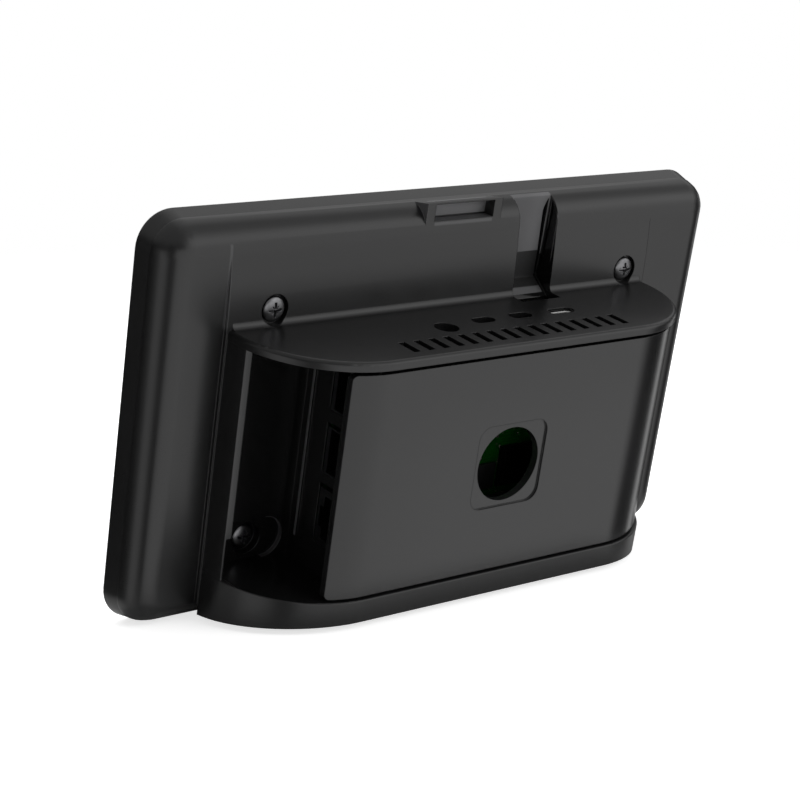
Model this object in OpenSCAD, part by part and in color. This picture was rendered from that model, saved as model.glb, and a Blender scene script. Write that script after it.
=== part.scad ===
// Desktop smart display seen from behind: a leaning housing for a touch panel,
// with a D-shaped box on its back that holds a single-board computer.
// Leaning pieces are drawn upright: X across, Y out of the back, Z up along the display,
// with the origin at the middle of the four panel screws. place() then leans and lifts them.

/* [Stance] */
// Backward lean of the display, degrees
lean = 12.5; // [11:0.5:14]
// Height of the rubber feet
foot_h = 1.8; // [1.6:0.1:2.2]
// Height of the screw pattern's middle over the underside of the base
base_drop = 51.2; // [51:0.1:51.6]

/* [Housing] */
// Width of the housing
body_w = 197; // [197:0.5:201]
// Top edge above the screw pattern's middle
body_top = 58; // [58:0.5:60]
// Bottom edge below the screw pattern's middle
body_bottom = 56.8; // [56:0.1:57]
// Depth from the front edge to the flat of the back
body_d = 15; // [15:0.5:17]
// Corner radius of the outline
corner_r = 10; // [10:0.5:12]
// Radius of the rounded back edge
edge_r = 7.8; // [7:0.2:7.8]
// Depth of the front bezel, up to the parting line
bezel_d = 6; // [5:0.5:6]
// Thickness of the moulded walls
wall = 2.4; // [2:0.2:2.6]
// Height of the raised middle of the back over its margins
raise = 1.2; // [0.8:0.1:1.2]
// Top of that raised middle, where it has sunk into the margins
raised_top = 49.5; // [49:0.1:49.5]
// Height at which it starts to sink
sink_z = 26; // [24:1:28]
// Bottom of that raised middle
raised_bottom = 49.5; // [48:0.5:50]

/* [Box on the back] */
// Middle of the box and of the flat behind it
box_x = 3.1; // [2.5:0.1:3.5]
// Half width of the box
box_half_w = 74.2; // [74:0.1:75]
// Depth of the box
box_d = 32.7; // [32.5:0.1:35]
// Radius of its rounded ends
box_r = 30; // [28:0.5:31]
// Top face of the shelf
shelf_z = 28.7; // [28.5:0.1:29.5]
// Thickness of the shelf
shelf_t = 2.5; // [2.4:0.1:3]
// Top face of the base
base_z = -38.7; // [-39:0.1:-38.5]
// Rolled top edge of the shelf and base
roll_r = 1.2; // [1:0.1:1.4]
// Depth of the short side walls
stub_d = 8; // [7:0.5:10]
// Gap that insets those walls from the box outline
stub_inset = 0.1; // [0.1:0.1:0.4]
// Number of vent slots in the shelf
vent_count = 16; // [12:1:16]
// Spacing of the vent slots
vent_pitch = 5; // [4.5:0.1:5]

/* [Rear cover] */
// Gap that insets the cover from the box outline
cover_inset = 1; // [0.8:0.1:1.5]
// Wall of the cover
cover_t = 2; // [1.6:0.1:2.2]
// Free edge of the cover beside the side opening
cover_edge_x = 58.5; // [57:0.1:60]
// Diameter of the round vent
vent_d = 21.5; // [18:0.5:22]
// Side of the square recess round the vent
recess_w = 24.5; // [24:0.5:28]

/* [Display panel] */
// Width of the touch glass
glass_w = 192.96; // [192:0.01:193]
// Height of the touch glass
glass_h = 110.76; // [110:0.01:111]
// Width of the panel behind the glass
lcd_w = 166.2; // [160:0.1:168]
// Height of the panel behind the glass
lcd_h = 100.6; // [98:0.1:102]
// Width of the panel's screw pattern
screw_w = 126.2; // [126:0.1:126.4]
// Height of the panel's screw pattern
screw_h = 65.65; // [65.5:0.05:65.8]

/* [Computer board] */
// Length of the board
board_w = 85; // [85:1:85]
// Width of the board
board_h = 56; // [56:1:56]
// End of the board at the memory card
board_x = -36.7; // [-37:0.1:-36.5]
// Port edge of the board
board_top = 24; // [23.8:0.1:24.2]
// Rear face of the board, which carries the parts
board_y = 12.6; // [12.4:0.1:12.8]
// Thickness of the board
board_t = 1.4; // [1.2:0.1:1.6]

/* [Hidden] */
$fn = 48;
eps = 0.01;
far = 400;
body_h = body_top + body_bottom;
body_mid = (body_top - body_bottom) / 2;
front_r = 1.4;
bezel_taper = 1.2;
rim_draft = bezel_taper + 0.1;
raised_depth = 6;
sink_d = raise + 0.2;
sink_r = ((raised_top - sink_z) ^ 2 + sink_d ^ 2) / (2 * sink_d);
raised_half_w = box_half_w + 0.4;
stub_t = 2.1;
part_y = bezel_d - body_d;
foot_r = 5.5;
foot_spots = [[-58, -4.8], [58, -4.8], [-44, 12.5], [44, 12.5]];

// Rear of each layer of the panel, counted back from the front edge
glass_y = -body_d + 0.3;
glass_t = 1.2;
glass_r = 8;
tape_t = 0.6;
cell_t = 1.6;
guide_t = 2.4;
pan_t = 1;
tape_y = glass_y + glass_t;
cell_y = tape_y + tape_t;
guide_y = cell_y + cell_t;
pan_y = guide_y + guide_t;
pan_back = pan_y + pan_t;

// Panel screws: heads sink in counterbores, and the lower pair sits deeper
screw_head_r = 3.5;
screw_head_t = 1.9;
counterbore_r = 4.2;
lower_counterbore_r = 4.6;
upper_seat = -1.7;
lower_seat = -3.8;
boss_r = 6;
bush_h = 3;
dish_r = 5.9;
dish_d = 1.2;

// Cable channel down the back, beside the camera pocket
channel_x = [-33.8, -19.5];
channel_floor = [-5.4, -6];
channel_deep = -6.5;
pocket_x = 1.3;
pocket_half_w = 10.5;
pocket_z = [52.4, 57.2];
pocket_floor = -5.6;
pocket_face = -1.7;

// Board features as [along the board from the card end, out from the port edge]
board_under = board_y - board_t;
usb_c_at = 11.2;
hdmi_at = [26, 39.5];
av_at = 54;
usb_at = [9, 27];
ethernet_at = 45.75;
hole_at = [[3.5, 3.5], [61.5, 3.5], [3.5, 52.5], [61.5, 52.5]];
header_at = [32.5, 52.5];
port_wall_x = [48.6, 49.8];
usb_size = [17.6, 15.6, 13.2];
ethernet_size = [21.2, 13.4, 15.9];
port_reach = 2.4;
plug_top = 10.7;
socket_at = [4.5, 30];
camera_at = [46.5, 12];

// Driver board on the back of the panel
driver_w = 84;
driver_t = 1.6;
driver_y = pan_back + 2;
driver_back = driver_y + driver_t;
window_x = [-40, 46];
window_z = [-33, 24];

// Middle of the depth, so that the whole part is centred front to back
front_reach = (body_d - front_r) * cos(lean) + (body_bottom - front_r) * sin(lean) + front_r;
rear_reach = (box_d - roll_r) * cos(lean) + (shelf_z - roll_r) * sin(lean) + roll_r;
rise = foot_h + base_drop;
shift = (front_reach - rear_reach) / 2;

module place() translate([0, shift, rise]) rotate([-lean, 0, 0]) children();

// The four fixing places of the computer board, at Y = 0
module at_board_holes() for (p = hole_at) translate([board_x + p[0], 0, board_top - p[1]]) children();

// A point of the board as a place in the upright frame
function on_board(along, out) = [board_x + along, board_y, board_top - out];

// A box by its low and high corners
module span_box(low, high) translate(low) cube(high - low);

// A rounded rectangle centred in X and Z, as a plate from y0 to y1
module rounded_plate(w, h, r, y0, y1) {
    translate([0, y1, 0]) rotate([90, 0, 0]) linear_extrude(height = y1 - y0) {
        square([w - 2 * r, h], center = true);
        square([w, h - 2 * r], center = true);
        for (sx = [-1, 1], sz = [-1, 1])
            translate([sx * (w / 2 - r), sz * (h / 2 - r)]) circle(r);
    }
}

// A cylinder along Y from y0 to y1
module rod(r, y0, y1, fn = 48) translate([0, y0, 0]) rotate([-90, 0, 0])
    cylinder(r = r, h = y1 - y0, $fn = fn);

// The four panel screw places
module at_screws(rows = [-1, 1])
    for (sx = [-1, 1], sz = rows)
        translate([sx * screw_w / 2, 0, sz * screw_h / 2]) children();

// Section of a plate's edge: width r, height h, top outer corner rolled
module rolled_section(r, h, roll) {
    square([r - roll, h]);
    square([r, h - roll]);
    translate([r - roll, h - roll]) circle(roll);
}

// D-shaped plate: straight rear, quarter-round ends, top edge rolled, underside at Z = 0
module d_plate(inset, h, roll) {
    r = box_r - inset;
    cx = box_half_w - box_r;
    cy = box_d - box_r;
    translate([box_x, 0, 0]) {
        translate([-cx, -eps, 0]) cube([2 * cx, cy + eps, h]);
        translate([-cx, cy, 0]) rotate([90, 0, 90])
            linear_extrude(height = 2 * cx) rolled_section(r, h, roll);
        translate([cx, cy, 0]) rotate_extrude(angle = 90, $fn = 96) rolled_section(r, h, roll);
        translate([-cx, cy, 0]) rotate([0, 0, 90])
            rotate_extrude(angle = 90, $fn = 96) rolled_section(r, h, roll);
        translate([cx, cy, 0]) rotate([90, 0, 0])
            linear_extrude(height = cy + eps) rolled_section(r, h, roll);
        mirror([1, 0, 0]) translate([cx, cy, 0]) rotate([90, 0, 0])
            linear_extrude(height = cy + eps) rolled_section(r, h, roll);
    }
}

// Plain D outline for walls
module d_outline(inset) {
    r = box_r - inset;
    cx = box_half_w - box_r;
    cy = box_d - box_r;
    translate([box_x, 0]) intersection() {
        union() {
            translate([-cx, -eps]) square([2 * cx, cy + r + eps]);
            translate([-cx - r, -eps]) square([2 * (cx + r), cy + eps]);
            for (s = [-1, 1]) translate([s * cx, cy]) circle(r, $fn = 96);
        }
        translate([-far / 2, -eps]) square([far, far]);
    }
}

// Space under the base's level underside
module below_base() rotate([lean, 0, 0]) translate([-far / 2, -far / 2, -base_drop - far]) cube(far);

// Room inside the housing for the panel, stepped to follow the sloping margins
module cavity() {
    rim_w = wall + 0.6;
    side = body_w / 2 - 12;
    inner = box_half_w - 2.4;
    translate([0, 0, body_mid])
        rounded_plate(body_w - 2 * rim_w, body_h - 2 * rim_w, corner_r - rim_w, part_y - 1, part_y + 1.6);
    span_box([-side, part_y, -raised_bottom - 3], [side, -2.2 * wall, raised_top + 0.5]);
    span_box([box_x - inner, part_y, -raised_bottom + 2], [box_x + inner, -wall, raised_top - 3]);
}

// Outline of the housing's back: rounded rim and a raised middle that sinks away at the top
module back_form() {
    rim_r = corner_r - rim_draft;
    hull() for (sx = [-1, 1], z = [body_top - corner_r, corner_r - body_bottom])
        translate([sx * (body_w / 2 - corner_r), part_y, z]) rotate([-90, 0, 0]) {
            cylinder(r = corner_r - bezel_taper, h = 0.5, $fn = 40);
            translate([0, 0, -raise - edge_r - part_y]) rotate_extrude($fn = 40)
                translate([rim_r - edge_r, 0]) intersection() {
                    circle(edge_r, $fn = 32);
                    square(edge_r);
                }
        }
    translate([box_x - raised_half_w, 0, 0]) rotate([90, 0, 90]) linear_extrude(height = 2 * raised_half_w)
        intersection() {
            translate([-raised_depth, -raised_bottom]) square([raised_depth, raised_top + raised_bottom]);
            union() {
                translate([-raised_depth, -far]) square([raised_depth, far + sink_z]);
                translate([-sink_r, sink_z]) circle(sink_r, $fn = 720);
            }
        }
}

// Half-round slot with its length along X and its depth along Z
module port_slot(w, h, z0, z1) {
    r = h / 2;
    translate([0, 0, z0]) {
        for (s = [-1, 1]) translate([s * (w / 2 - r), 0, 0]) cylinder(r = r, h = z1 - z0);
        translate([-(w / 2 - r), -r, 0]) cube([w - h, h, z1 - z0]);
    }
}

module shelf() {
    port_y = board_y + 1.6;
    low = shelf_z - shelf_t - 1;
    high = shelf_z + 1;
    difference() {
        translate([0, 0, shelf_z - shelf_t]) d_plate(0, shelf_t, roll_r);
        translate([board_x + usb_c_at, port_y, 0]) port_slot(9.2, 3.9, low, high);
        for (at = hdmi_at) translate([board_x + at, port_y - 0.4, 0]) port_slot(7.6, 4, low, high);
        translate([board_x + av_at, board_y + 2.9, low]) cylinder(r = 3.5, h = high - low);
        for (k = [0 : vent_count - 1])
            translate([(k - (vent_count - 1) / 2) * vent_pitch, 24.9, low])
                translate([-1.1, -3.6, 0]) cube([2.2, 7.2, high - low]);
    }
}

module base() {
    base_t = 2.6;
    rib_t = 1.8;
    deep = 24;
    difference() {
        union() {
            difference() {
                translate([0, 0, base_z - deep]) d_plate(0, deep, roll_r * 0.3);
                translate([0, 0, base_z - deep - 1])
                    linear_extrude(height = deep + 1 - base_t) d_outline(wall);
            }
            for (x = [-28, 0, 28])
                translate([box_x + x - rib_t / 2, -eps, base_z - deep]) cube([rib_t, box_d - wall, deep - 1]);
            intersection() {
                rotate([lean, 0, 0]) for (p = foot_spots)
                    translate([box_x + p[0], p[1], -base_drop]) cylinder(r = foot_r + 1.5, h = 20);
                translate([0, 0, base_z - deep]) linear_extrude(height = deep - 1) d_outline(wall / 2);
            }
        }
        below_base();
    }
}

module side_stubs() {
    intersection() {
        translate([0, 0, base_z - 1]) linear_extrude(height = shelf_z - shelf_t - base_z + 2) difference() {
            d_outline(stub_inset);
            d_outline(stub_inset + stub_t);
        }
        span_box([-far, -1, -far], [far, stub_d, far]);
    }
}

// Wall beside the board, notched from the rear for the stacked ports
module port_wall() {
    foot = board_under - 0.3;
    tall = box_d - cover_inset - cover_t - 0.8;
    usb_gap = usb_size[2] + 1;
    difference() {
        union() {
            span_box([port_wall_x[0], -1, base_z - 1], [port_wall_x[1], tall, shelf_z - 1]);
            span_box([port_wall_x[1] - eps, 3.2, -32], [port_wall_x[1] + 0.8, 4, 24]);
        }
        for (at = usb_at)
            translate([port_wall_x[0] - 1, foot, board_top - at - usb_gap / 2]) cube([4, far, usb_gap]);
        translate([port_wall_x[0] - 1, foot, board_top - ethernet_at - ethernet_size[2] / 2 - 0.5])
            cube([4, far, ethernet_size[2] + 1]);
    }
}

module channel_cut() {
    section = [[1, 62], [channel_floor[0], 62], [channel_floor[1], 39.5], [channel_deep, 31.6],
        [-0.8, 27.2], [-0.8, 24.9], [5, 24.9], [5, 30.5], [1, 30.5]];
    translate([channel_x[0], 0, 0]) rotate([90, 0, 90])
        linear_extrude(height = channel_x[1] - channel_x[0]) polygon(section);
}

// Block round the camera pocket: its top runs up out of the rim, and its foot fades into the back
module pocket_block() {
    section = [[part_y + 0.6, 54], [part_y + 0.6, 56.4], [pocket_face, pocket_z[1] + 0.5],
        [pocket_face, 51.2], [pocket_floor - 1.1, 51.2]];
    translate([pocket_x - pocket_half_w - 2.9, 0, 0]) rotate([90, 0, 90])
        linear_extrude(height = 2 * pocket_half_w + 5.8) polygon(section);
}

// Inside of the camera pocket, whose ceiling slopes with the hood above it
module pocket_cut() {
    fall = 0.8;
    section = [[pocket_floor, pocket_z[0]], [pocket_floor, pocket_z[1] - fall],
        [pocket_face, pocket_z[1]], [2, pocket_z[1]], [2, pocket_z[0]]];
    translate([pocket_x - pocket_half_w, 0, 0]) rotate([90, 0, 90])
        linear_extrude(height = 2 * pocket_half_w) polygon(section);
}

// Back of the housing in one moulding with the shelf, the side walls and the base
module back_shell() color("#2b2c2e") place() {
    trough = 1.1;
    fillet_r = 1.8;
    difference() {
        union() {
            difference() {
                back_form();
                cavity();
                span_box([window_x[0], -far, window_z[0]], [window_x[1], 1, window_z[1]]);
            }
            at_screws() rod(boss_r, pan_back + bush_h, -wall + eps);
            intersection() {
                back_form();
                span_box([channel_x[0] - trough, channel_deep - trough, 25],
                    [channel_x[1] + trough, 1, far]);
            }
            pocket_block();
            shelf();
            base();
            side_stubs();
            port_wall();
            difference() {
                span_box([box_x - box_half_w + roll_r, -eps, shelf_z - eps],
                    [box_x + box_half_w - roll_r, fillet_r, shelf_z + fillet_r]);
                translate([-far / 2, fillet_r, shelf_z + fillet_r]) rotate([0, 90, 0])
                    cylinder(r = fillet_r, h = far);
            }
        }
        at_screws() rod(1.7, -far, 2);
        intersection() {
            at_screws([1]) rod(counterbore_r, upper_seat, 2);
            span_box([-far, -far, shelf_z], [far, far, far]);
        }
        at_screws([-1]) rod(lower_counterbore_r, lower_seat, 2);
        for (s = [-1, 1]) driver_dish(s);
        channel_cut();
        pocket_cut();
        below_base();
    }
}

// Clearance for a screwdriver at a lower screw, which thins the side wall beside it
module driver_dish(side) {
    end = screw_w / 2 - 5;
    reach = box_half_w - 1.1 + side * box_x;
    intersection() {
        translate([side * end, 0, -screw_h / 2]) rod(dish_r, -dish_d, 2);
        span_box([-far, -dish_d, base_z], [far, 2, 0]);
    }
    span_box([side > 0 ? end : -reach, -dish_d, base_z],
        [side > 0 ? reach : -end, stub_d + 1, dish_r - screw_h / 2]);
}

// Front frame round the glass, with a ledge behind the glass
module front_bezel() color("#242527") place() translate([0, 0, body_mid]) {
    ledge_y = glass_y + glass_t;
    difference() {
        union() {
            rounded_plate(body_w - 2 * front_r, body_h - 2 * front_r, corner_r - front_r, -body_d, part_y);
            bezel_roll();
        }
        rounded_plate(glass_w + 0.4, glass_h + 0.4, glass_r + 0.2, -far, ledge_y);
        rounded_plate(glass_w - 9, glass_h - 5, 4, -far, far);
        rounded_plate(body_w - 2 * wall, body_h - 2 * wall, corner_r - wall, ledge_y + 1.6, far);
    }
}

// Rolled front edge of the bezel, run round its four sides and corners
module bezel_roll() {
    sx = body_w / 2 - corner_r;
    sz = body_h / 2 - corner_r;
    for (m = [0, 1]) mirror([m, 0, 0]) {
        translate([sx, part_y, sz]) rotate([90, 0, 0]) rotate_extrude(angle = 90) roll_ring();
        translate([sx, part_y, -sz]) rotate([90, 90, 0]) rotate_extrude(angle = 90) roll_ring();
        translate([sx, part_y, -sz]) rotate([90, 0, 0]) rotate([90, 0, 0])
            mirror([0, 0, 1]) linear_extrude(height = 2 * sz) roll_ring();
    }
    for (m = [0, 1]) mirror([0, 0, m])
        translate([-sx, part_y, sz]) rotate([90, 0, 90]) linear_extrude(height = 2 * sx)
            rotate(90) roll_ring();
}

// Section of that roll, outwards in X and forwards in Y, narrower at the parting line
module roll_ring() translate([corner_r - 4, 0]) {
    flank = bezel_d - front_r;
    polygon([[0, 0], [4 - bezel_taper, 0], [4, flank], [4 - front_r, bezel_d], [0, bezel_d]]);
    translate([4 - front_r, flank]) intersection() {
        circle(front_r);
        square(front_r);
    }
}

module touch_glass() color("#0c0d0f") place() translate([0, 0, body_mid])
    rounded_plate(glass_w, glass_h, glass_r, glass_y, glass_y + glass_t);

module bonding_tape() color("#161616") place() translate([0, 0, body_mid]) difference() {
    rounded_plate(lcd_w, lcd_h, 1.5, tape_y, cell_y);
    rounded_plate(lcd_w - 8, lcd_h - 8, 1.5, -far, far);
}

module lcd_cell() color("#20242a") place() translate([0, 0, body_mid])
    rounded_plate(lcd_w - 1.2, lcd_h - 1.2, 1, cell_y, guide_y);

module backlight_guide() color("#d9dde0") place() translate([0, 0, body_mid])
    rounded_plate(lcd_w - 1.2, lcd_h - 1.2, 1, guide_y, pan_y);

// Metal sheet behind the backlight
module lcd_metal_back() color("#b9bcc0") place()
    translate([0, 0, body_mid]) rounded_plate(lcd_w, lcd_h, 1.5, pan_y, pan_back);

// Threaded bushes on that sheet, which take the panel screws
module panel_bushes() color("#a7a9ad") place() at_screws() difference() {
    rod(3.2, pan_back, pan_back + bush_h);
    rod(1.55, pan_back + 0.3, far);
}

// Short posts that hold the driver board off the sheet
module panel_posts() color("#c9b26a") place() at_board_holes() rod(2.4, pan_back, driver_y);

module driver_board() color("#1d5a38") place() difference() {
    span_box([board_x + 1, driver_y, board_top - board_h], [board_x + 1 + driver_w, driver_back, board_top]);
    at_board_holes() rod(1.4, -far, far);
}

// Chips and coils on the driver board: [x, z, width, height, thickness]
module driver_chips() color("#1c1c1e") place() for (c = [[-14, 4, 9, 9, 1.2], [4, -8, 7, 7, 1],
        [-18, -12, 6, 6, 2.2], [30, -14, 5, 4, 1]])
    translate([c[0], driver_back, c[1]]) translate([-c[2] / 2, 0, -c[3] / 2]) cube([c[2], c[4], c[3]]);

// Sockets on the driver board: ribbon socket, panel flex socket, touch flex socket and power pins
module driver_sockets() color("#d8d4c6") place() {
    span_box([-29, driver_back, -14], [-25, driver_back + 2.4, 2]);
    span_box([-2, driver_back, -27], [12, driver_back + 1.6, -23]);
    span_box([-22, driver_back, -27], [-14, driver_back + 1.6, -23]);
    span_box([13.2, driver_back, -31.5], [19.2, driver_back + 2.5, -27]);
}

// Folded tails that join the panel and the touch layer to the driver board
module panel_flex() color("#b5762a") place() folded_tail(-1, 11);

module touch_flex() color("#a86a24") place() folded_tail(-21, -15);

module folded_tail(x0, x1) {
    tail_t = 0.3;
    edge_z = body_mid - lcd_h / 2;
    fold_z = board_top - board_h - 2.4;
    from = cell_y + 0.4;
    low = pan_back + 0.1;
    high = driver_back + 0.5;
    span_box([x0, from, edge_z - 0.5], [x1, from + tail_t, edge_z + 0.6]);
    span_box([x0, from, edge_z - 0.5], [x1, low + tail_t, edge_z - 0.2]);
    span_box([x0, low, edge_z - 0.5], [x1, low + tail_t, fold_z]);
    span_box([x0, low, fold_z - eps], [x1, high + tail_t, fold_z + tail_t]);
    span_box([x0, high, fold_z], [x1, high + tail_t, -27]);
}

// Cross-recessed pan-head screws that hold the panel to the shell
module panel_screws() color("#8d9096") place() {
    at_screws([1]) pan_screw(upper_seat, 1.5, pan_back + 0.5);
    at_screws([-1]) pan_screw(lower_seat, 1.5, pan_back + 0.5);
}

// One pan-head screw along Y: seat of the head, shank radius and tip
module pan_screw(seat, shank_r, tip, head_r = screw_head_r, head_t = screw_head_t) {
    difference() {
        union() {
            rod(head_r, seat, seat + head_t * 0.6);
            rod(head_r * 0.82, seat, seat + head_t);
        }
        for (a = [0, 90]) rotate([0, a, 0])
            span_box([-head_r * 0.55, seat + head_t * 0.4, -head_r * 0.09],
                [head_r * 0.55, far, head_r * 0.09]);
    }
    rod(shank_r, tip, seat + eps);
}

// Lift-off rear cover: curved wall with the square recess and round vent
module rear_cover() color("#303134") place() {
    vent_x = 1.7;
    vent_z = -7.1;
    recess_t = 0.6;
    low = base_z + 0.5;
    high = shelf_z - shelf_t - 1.3;
    tuck = cover_inset + cover_t;
    difference() {
        union() {
            intersection() {
                translate([0, 0, low]) linear_extrude(height = high - low) difference() {
                    d_outline(cover_inset);
                    d_outline(tuck);
                }
                translate([0, 0, (low + high) / 2]) cover_trim(high - low);
            }
            translate([vent_x, 0, vent_z])
                rounded_plate(recess_w + 4, recess_w + 4, 6, box_d - tuck - 1, box_d - tuck + 0.5);
            for (z = [-26, 8]) tongue(z);
        }
        translate([vent_x, 0, vent_z]) {
            rounded_plate(recess_w, recess_w, 4, box_d - cover_inset - recess_t, far);
            rod(vent_d / 2, 0, far, 96);
        }
    }
}

// Extent of the cover seen from behind, with its free corners rounded
module cover_trim(h) {
    r = 1.5;
    span_box([-far, stub_d + 0.4, -far], [0, far, far]);
    translate([0, far, 0]) rotate([90, 0, 0]) linear_extrude(height = far) {
        translate([-eps, -h / 2]) square([cover_edge_x - r + eps, h]);
        translate([-eps, -h / 2 + r]) square([cover_edge_x + eps, h - 2 * r]);
        for (s = [-1, 1]) translate([cover_edge_x - r, s * (h / 2 - r)]) circle(r);
    }
}

// Tongue on the closed end of the cover that tucks inside the side wall
module tongue(z) {
    outer = box_half_w - cover_inset - cover_t - 0.6;
    translate([box_x - outer, 3.5, z]) cube([1.6, stub_d + 1.5, 12]);
}

module rubber_feet() color("#151515") translate([box_x, shift, 0]) for (p = foot_spots)
    translate([p[0], p[1], 0]) cylinder(r = foot_r, h = foot_h);

module computer_board() color("#1f6b3b") place() difference() {
    translate([board_x + board_w / 2, 0, board_top - board_h / 2])
        rounded_plate(board_w, board_h, 3, board_under, board_y);
    at_board_holes() rod(1.35, 0, far);
}

module board_standoffs() color("#c9a94e") place() at_board_holes() difference() {
    rod(2.9, driver_back, board_under, 6);
    rod(1.35, board_under - 6, far);
}

module board_screws() color("#a9acb1") place()
    at_board_holes() pan_screw(board_y, 1.2, board_under - 4, 2.3, 1.6);

// A block that stands on the board, by its middle, width, height and thickness
module board_block(along, out, w, h, t) translate(on_board(along, out))
    translate([-w / 2, 0, -h / 2]) cube([w, t, h]);

module processor() color("#26272a") place() {
    board_block(17.5, 41.2, 14, 12, 1.2);
    board_block(17.5, 41.2, 11, 9.5, 1.6);
}

module memory_chip() color("#1d1e20") place() board_block(29.2, 43.6, 6.6, 7.6, 1);

module board_chips() color("#1b1b1d") place() {
    board_block(57, 30, 7, 7, 0.9);
    board_block(37, 26, 5, 5, 0.9);
    board_block(27, 14, 6, 6, 1);
    board_block(60, 43, 4, 4, 0.9);
}

module radio_shield() color("#b4b7bb") place() board_block(13, 20, 11, 10, 1.5);

module pin_header() color("#17181a") place() board_block(header_at[0], header_at[1], 50.8, 5, 2.5);

module header_pins() color("#c8a64b") place() for (k = [0 : 19], row = [-1, 1])
    translate(on_board(header_at[0] + (k - 9.5) * 2.54, header_at[1] + row * 1.27))
        translate([-0.32, 2.5, -0.32]) cube([0.64, 6, 0.64]);

// Stacked ports at the end of the board, each an open metal box
module port_shell(at, size) {
    x0 = board_x + board_w + port_reach - size[0];
    translate([x0, board_y, board_top - at - size[2] / 2]) children();
}

module usb_ports() color("#c5c8cc") place() for (at = usb_at) port_shell(at, usb_size) difference() {
    cube(usb_size);
    for (k = [0, 1]) translate([4, 1.4 + k * 7.2, 0.5]) cube([far, 5.6, usb_size[2] - 1]);
}

module usb_tongues() color("#1a2f6b") place() for (at = usb_at) port_shell(at, usb_size)
    for (k = [0, 1]) translate([4, 4.6 + k * 7.2, 1]) cube([usb_size[0] - 5.2, 1.8, usb_size[2] - 2]);

module ethernet_jack() color("#bfc2c6") place() port_shell(ethernet_at, ethernet_size) difference() {
    cube(ethernet_size);
    translate([8, 2.4, 1.9]) cube([far, 8.2, ethernet_size[2] - 3.8]);
    translate([8, 0.8, 5]) cube([far, 3, ethernet_size[2] - 10]);
}

// A port that looks out over the top edge of the board
module edge_port(along, w, deep, reach)
    translate([board_x + along - w / 2, board_y, board_top + reach - deep])
    children();

// Round-ended power inlet, whose shell reaches up into its hole in the shelf
module usb_c_port() color("#d5d8db") place() translate([board_x + usb_c_at, board_y + 1.6, 0]) difference() {
    port_slot(9, 3.2, board_top - 6.3, board_top + 3.7);
    port_slot(8.2, 2.4, board_top - 5.3, far);
}

module micro_hdmi_ports() color("#cfd2d6") place() for (at = hdmi_at) edge_port(at, 7, 7.6, 1) difference() {
    cube([7, 3.1, 7.6]);
    translate([0.5, 0.5, 1]) cube([6, 2.1, far]);
}

module av_jack() color("#19191b") place() edge_port(av_at, 7, 12.5, 0) cube([7, 5.8, 12.5]);

module av_jack_barrel() color("#202023") place()
    translate([board_x + av_at, board_y + 2.9, board_top]) difference() {
        cylinder(r = 3, h = 2.4);
        translate([0, 0, 0.4]) cylinder(r = 1.75, h = far);
    }

// Flat-cable socket standing on the board, with a slot between two walls
module cable_socket(at) translate(on_board(at[0], at[1])) difference() {
    translate([-2, 0, -10]) cube([4, 3.6, 20]);
    translate([-0.9, 0.8, -8.6]) cube([1.8, far, 17.2]);
}

// Latch bar of that socket, which lifts out of the slot
module cable_latch(at) translate(on_board(at[0], at[1])) {
    translate([-0.6, 1.4, -8.2]) cube([0.7, 3.2, 16.4]);
    translate([-1.6, 3.75, -9.6]) cube([1.7, 1.1, 19.2]);
}

module display_socket() color("#e6e2d6") place() cable_socket(socket_at);
module display_latch() color("#2a2a2c") place() cable_latch(socket_at);
module camera_socket() color("#e6e2d6") place() cable_socket(camera_at);
module camera_latch() color("#2a2a2c") place() cable_latch(camera_at);

// Memory card holder under the end of the board, open towards that end
module card_slot() color("#c2c5c9") place()
    translate([board_x + 2, board_under, board_top - board_h / 2]) difference() {
        translate([0, -1.5, -7]) cube([14, 1.5, 14]);
        translate([-1, -1.2, -5.8]) cube([13.6, 0.95, 11.6]);
    }

module micro_sd_card() color("#101113") place() translate([board_x, board_under, board_top - board_h / 2])
    translate([-1, -1.1, -5.5]) cube([15, 0.7, 11]);

// Points of a smooth curve through p, with n steps between neighbours
function curve(p, n) = [for (i = [1 : len(p) - 3], k = [0 : n - 1]) let (t = k / n)
    0.5 * (2 * p[i] + (p[i + 1] - p[i - 1]) * t + (2 * p[i - 1] - 5 * p[i] + 4 * p[i + 1] - p[i + 2]) * t * t
        + (3 * p[i] - p[i - 1] - 3 * p[i + 1] + p[i + 2]) * t * t * t)];

// The same points moved sideways by d
function beside(p, d) = [for (i = [0 : len(p) - 1])
    let (v = p[min(i + 1, len(p) - 1)] - p[max(i - 1, 0)]) p[i] + d * [-v[1], v[0]] / norm(v)];

// Flat cable from the driver board, round the end of the computer board and into the display socket
module display_ribbon() color("#e9e6dc") place() {
    ribbon_t = 0.3;
    ribbon_h = 15.6;
    in_x = board_x + socket_at[0] + 0.4;
    foot_y = driver_back + 1.2;
    route = [[-22, 0.4], [-29.02, foot_y], [-36, 0.4], [-44, 2.6], [-51.5, 5], [-54, 11], [-50, 18],
        [-42, 21.8], [in_x - 2.6, 22.6], [in_x, 20.6], [in_x, 19], [in_x, board_y + 1.2],
        [in_x, board_y - 2]];
    line = curve(route, 6);
    back = beside(line, -ribbon_t / 2);
    translate([0, 0, board_top - socket_at[1] - ribbon_h / 2]) linear_extrude(height = ribbon_h)
        polygon(concat(beside(line, ribbon_t / 2), [for (i = [len(line) - 1 : -1 : 0]) back[i]]));
}

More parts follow.
